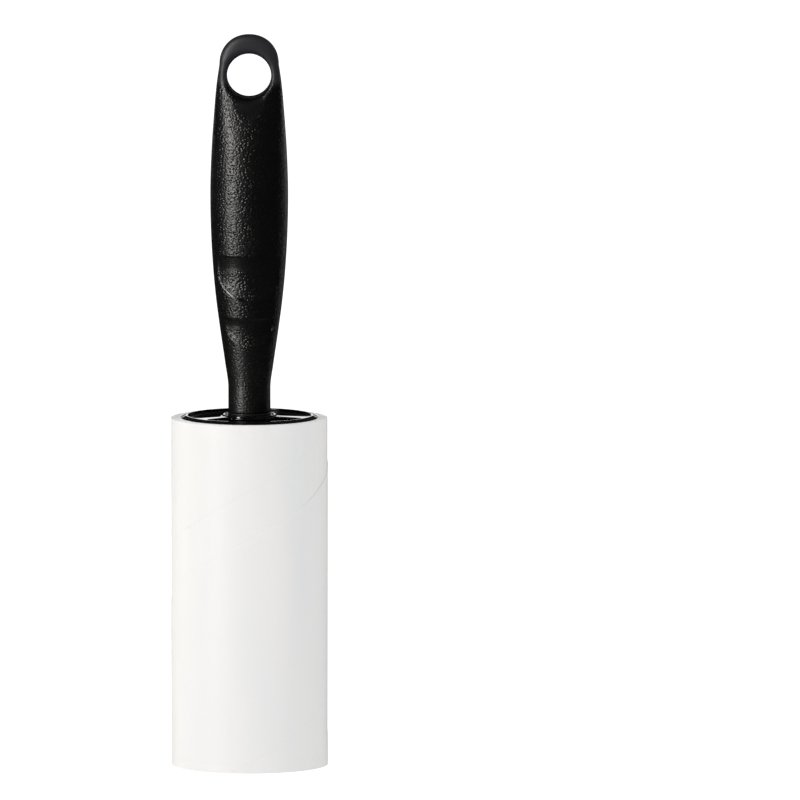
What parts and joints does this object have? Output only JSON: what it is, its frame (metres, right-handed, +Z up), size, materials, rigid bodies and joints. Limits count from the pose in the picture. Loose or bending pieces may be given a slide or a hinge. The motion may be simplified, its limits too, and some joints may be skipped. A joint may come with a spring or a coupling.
{
  "type": "lint roller",
  "caption": "Refillable adhesive lint roller: slim black grip with thumb scallops and a hanging hole, and a free-spinning head that carries a slide-off roll of white adhesive sheets.",
  "frame": {"origin": "centre of the roll's lower end, on the spindle axis, on the surface the roller stands on", "axes": "+Z up the spindle to the grip, -Y out of the front, where the thumb scallops are, +X to the right seen from the front"},
  "size_m": [0.045, 0.045, 0.2101],
  "materials": {
    "grip_plastic": "black polypropylene with a fine spark grain, smooth round the hanging hole",
    "gloss_black": "polished black moulding",
    "head_plastic": "satin black moulding",
    "spindle_plastic": "natural acetal",
    "washer_plastic": "dark graphite-filled nylon",
    "steel": "zinc-plated spring steel",
    "kraft_board": "brown kraft board, spiral wound",
    "adhesive_paper": "white paper with a satin adhesive face"
  },
  "bodies": {
    "handle": {"grip_front_shell": "grip_plastic", "grip_rear_shell": "grip_plastic", "spindle": "spindle_plastic", "spindle_lock_pin": "steel", "upper_thrust_washer": "washer_plastic", "lower_thrust_washer": "washer_plastic", "retaining_clip": "steel"},
    "head": {"head_flange": "gloss_black", "head_barrel": "head_plastic", "head_end_cap": "head_plastic"},
    "refill": {"core_inner_ply": "kraft_board", "core_outer_ply": "kraft_board", "sheet_01": "adhesive_paper", "sheet_02": "adhesive_paper", "sheet_03": "adhesive_paper", "sheet_04": "adhesive_paper", "sheet_05": "adhesive_paper", "sheet_06": "adhesive_paper", "sheet_07": "adhesive_paper", "sheet_08": "adhesive_paper", "sheet_09": "adhesive_paper", "sheet_10": "adhesive_paper", "sheet_11": "adhesive_paper", "sheet_12": "adhesive_paper", "sheet_13": "adhesive_paper", "sheet_14": "adhesive_paper", "sheet_15": "adhesive_paper", "sheet_16": "adhesive_paper", "sheet_17": "adhesive_paper", "sheet_18": "adhesive_paper", "sheet_19": "adhesive_paper", "sheet_20": "adhesive_paper", "sheet_21": "adhesive_paper", "sheet_22": "adhesive_paper", "sheet_23": "adhesive_paper", "sheet_24": "adhesive_paper"}
  },
  "joints": [
    {"name": "head_spin", "type": "hinge", "parent": "handle", "child": "head", "pos_m": [0, 0, 0], "axis": [0, 0, 1], "continuous": true},
    {"name": "refill_slide", "type": "slide", "parent": "head", "child": "refill", "axis": [0, 0, -1], "range_m": [0, 0.105]}
  ]
}
